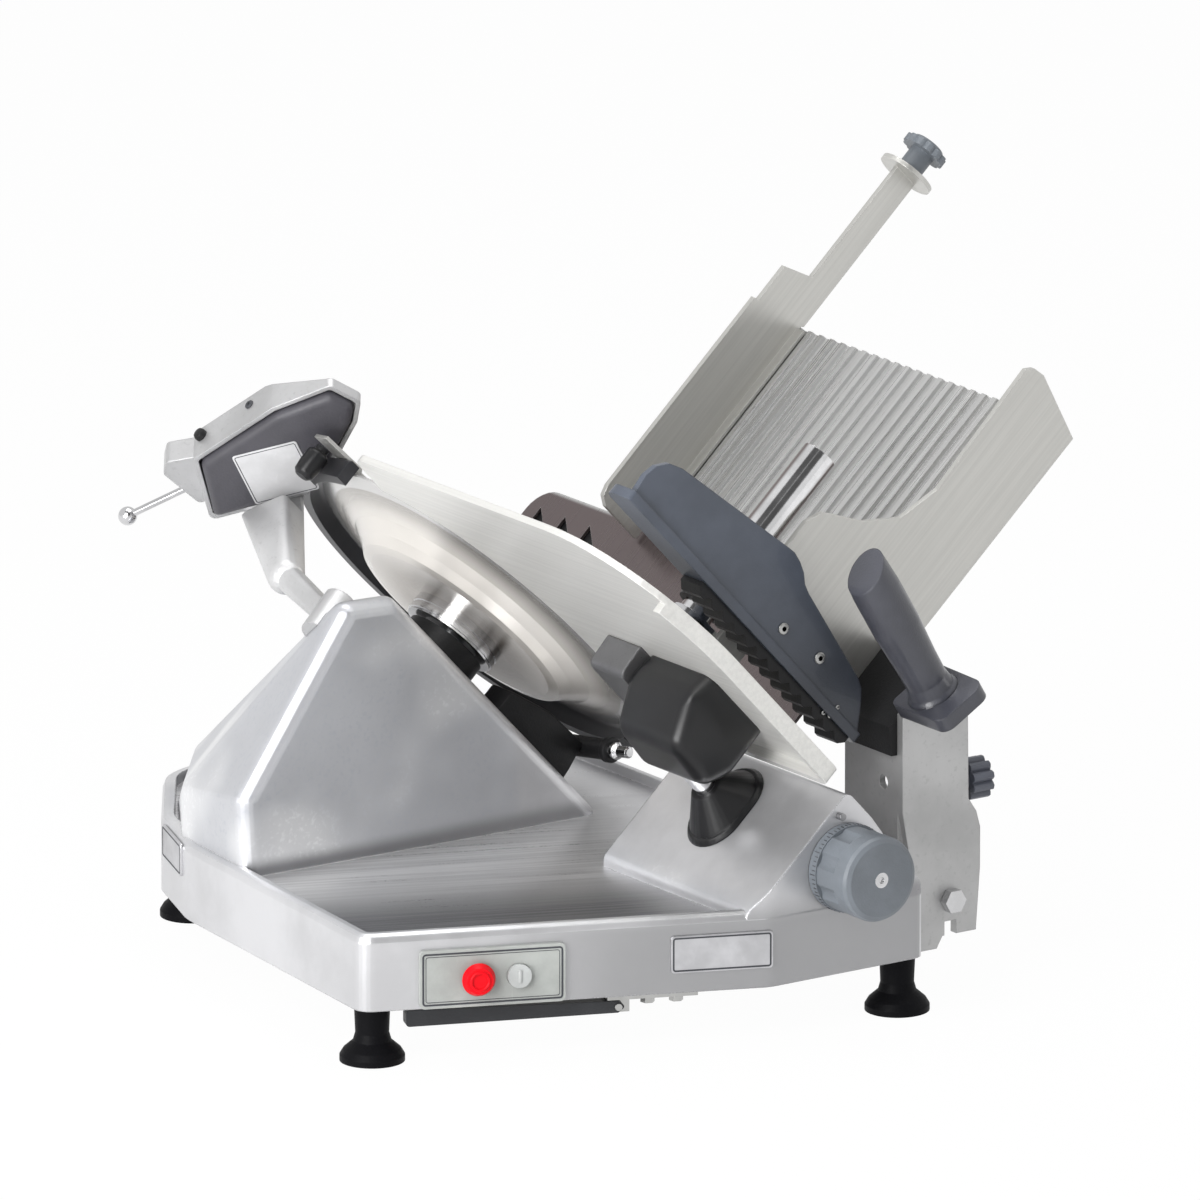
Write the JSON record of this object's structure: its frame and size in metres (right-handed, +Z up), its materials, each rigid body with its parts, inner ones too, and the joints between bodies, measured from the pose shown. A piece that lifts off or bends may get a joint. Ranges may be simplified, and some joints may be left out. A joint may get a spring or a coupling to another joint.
{
  "type": "food slicer",
  "caption": "Gravity-feed food slicer: round tilted knife with guard and sharpener, gauge plate set by a dial, and a hand-pushed carriage with pusher and fence.",
  "frame": {"origin": "on the counter under the middle of the machine, in the plane of the feet's lower faces", "axes": "+Z up, the operator stands at -Y and the carriage travels along Y, +X to the operator's right"},
  "size_m": [0.8268, 0.733, 0.6041],
  "materials": {
    "satin_casting": "satin, fine grain",
    "stainless": "brushed",
    "knife_steel": "ground",
    "polished": "polished",
    "dark_plastic": "slate",
    "black_plastic": "satin",
    "knob_grey": "smooth",
    "panel_grey": "smooth",
    "stop_red": "gloss",
    "start_pale": "gloss",
    "rubber_black": "matte",
    "painted_dark": "satin paint",
    "machined_steel": "machined",
    "sharpener_grey": "satin paint",
    "stone": "coarse"
  },
  "bodies": {
    "base": {"base_housing": "satin_casting", "bottom_cover": "stainless", "feet": "rubber_black", "foot_screws": "machined_steel", "kickstand_bracket": "machined_steel", "kickstand_bolts": "machined_steel", "switch_panel": "panel_grey", "index_pin": "machined_steel", "motor": "painted_dark", "drive_belt": "rubber_black", "knife_bearings": "machined_steel", "bearing_housing": "black_plastic", "ring_guard": "painted_dark", "top_knife_cover": "stainless", "gauge_guide": "machined_steel", "transport_rod": "polished", "rod_supports": "machined_steel", "sharpener_arm": "satin_casting", "sharpener_housing": "satin_casting", "sharpener_cover": "sharpener_grey", "sharpener_stones": "stone"},
    "knife_rotor": {"knife": "knife_steel", "knife_shaft": "machined_steel", "hub_ring": "polished", "knife_screws": "polished", "knife_pulley": "machined_steel"},
    "motor_rotor": {"motor_pulley": "machined_steel"},
    "stop_key": {"stop_button": "stop_red"},
    "start_key": {"start_button": "start_pale"},
    "kickstand_leg": {"kickstand": "painted_dark"},
    "latch": {"cover_latch": "black_plastic"},
    "index_rotor": {"index_knob": "knob_grey", "index_dial": "knob_grey", "index_screw": "polished", "index_shaft": "machined_steel", "index_cam": "machined_steel"},
    "gauge": {"gauge_plate": "stainless", "gauge_bracket": "stainless", "gauge_block": "black_plastic", "gauge_post": "polished", "gauge_boot": "black_plastic", "gauge_slide": "machined_steel"},
    "carriage": {"carriage_slider": "machined_steel", "pivot_bolt": "polished"},
    "tilt_frame": {"carriage_arm": "satin_casting", "carriage_bracket": "black_plastic", "end_wall": "stainless", "product_table": "stainless", "handle_grip": "dark_plastic", "handle_flange": "dark_plastic", "slide_rod": "polished", "rod_clamp": "polished"},
    "tilt_lock": {"tilt_knob": "knob_grey"},
    "pusher_slider": {"pusher_bushing": "black_plastic"},
    "pusher": {"pusher_plate": "dark_plastic", "pusher_collar": "dark_plastic", "pusher_teeth": "black_plastic"},
    "fence_slider": {"fence": "stainless"},
    "fence_clamp": {"fence_knob": "knob_grey"},
    "sharpener_rod": {"sharpener_lever": "polished"}
  },
  "joints": [
    {"name": "knife_spin", "type": "hinge", "parent": "base", "child": "knife_rotor", "pos_m": [-0.0694, 0.1355, 0.274], "axis": [0.7314, 0, 0.682], "continuous": true},
    {"name": "motor_spin", "type": "hinge", "parent": "base", "child": "motor_rotor", "pos_m": [-0.13613, 0.2155, 0.14614], "axis": [0.7314, 0, 0.682], "continuous": true},
    {"name": "stop_press", "type": "slide", "parent": "base", "child": "stop_key", "axis": [0.3809, 0.9246, 0], "range_m": [0, 0.003], "stiffness_N_per_m": 400, "springref_m": -0.001},
    {"name": "start_press", "type": "slide", "parent": "base", "child": "start_key", "axis": [0.3809, 0.9246, 0], "range_m": [0, 0.003], "stiffness_N_per_m": 400, "springref_m": -0.001},
    {"name": "kickstand_swing", "type": "hinge", "parent": "base", "child": "kickstand_leg", "pos_m": [-0.20883, -0.26654, 0.037], "axis": [-0.3809, -0.9246, 0], "range_deg": [0, 90]},
    {"name": "latch_turn", "type": "hinge", "parent": "base", "child": "latch", "pos_m": [-0.20746, 0.17625, 0.40739], "axis": [0.7314, 0, 0.682], "range_deg": [0, 90]},
    {"name": "index_turn", "type": "hinge", "parent": "base", "child": "index_rotor", "pos_m": [-0.0174, -0.3145, 0.139], "axis": [0, -1, 0], "range_deg": [0, 270]},
    {"name": "gauge_travel", "type": "slide", "parent": "base", "child": "gauge", "axis": [-0.7314, 0, -0.682], "range_m": [0, 0.025]},
    {"name": "carriage_slide", "type": "slide", "parent": "base", "child": "carriage", "axis": [0, 1, 0], "range_m": [0, 0.26]},
    {"name": "carriage_tilt", "type": "hinge", "parent": "carriage", "child": "tilt_frame", "pos_m": [0.1236, -0.2635, 0.076], "axis": [0, 1, 0], "range_deg": [0, 40]},
    {"name": "tilt_knob_turn", "type": "hinge", "parent": "tilt_frame", "child": "tilt_lock", "pos_m": [0.1596, -0.2475, 0.17], "axis": [1, 0, 0], "range_deg": [0, 270]},
    {"name": "pusher_slide", "type": "slide", "parent": "tilt_frame", "child": "pusher_slider", "axis": [0.7314, 0, 0.682], "range_m": [0, 0.09]},
    {"name": "pusher_swing", "type": "hinge", "parent": "pusher_slider", "child": "pusher", "pos_m": [-0.03135, -0.1595, 0.3505], "axis": [-0.7314, 0, -0.682], "range_deg": [0, 90]},
    {"name": "fence_slide", "type": "slide", "parent": "tilt_frame", "child": "fence_slider", "axis": [0, -1, 0], "range_m": [0, 0.2]},
    {"name": "fence_knob_turn", "type": "hinge", "parent": "fence_slider", "child": "fence_clamp", "pos_m": [0.37978, 0.1525, 0.5709], "axis": [0.7314, 0, 0.682], "range_deg": [0, 270]},
    {"name": "sharpener_pull", "type": "slide", "parent": "base", "child": "sharpener_rod", "axis": [-0.5171, 0.7071, -0.4822], "range_m": [0, 0.012], "stiffness_N_per_m": 300, "springref_m": -0.003}
  ],
  "couplings": [
    {"joint": "motor_spin", "follows": "knife_spin", "ratio": 1.8},
    {"joint": "index_turn", "follows": "gauge_travel", "rad_per_m": 188.5}
  ]
}
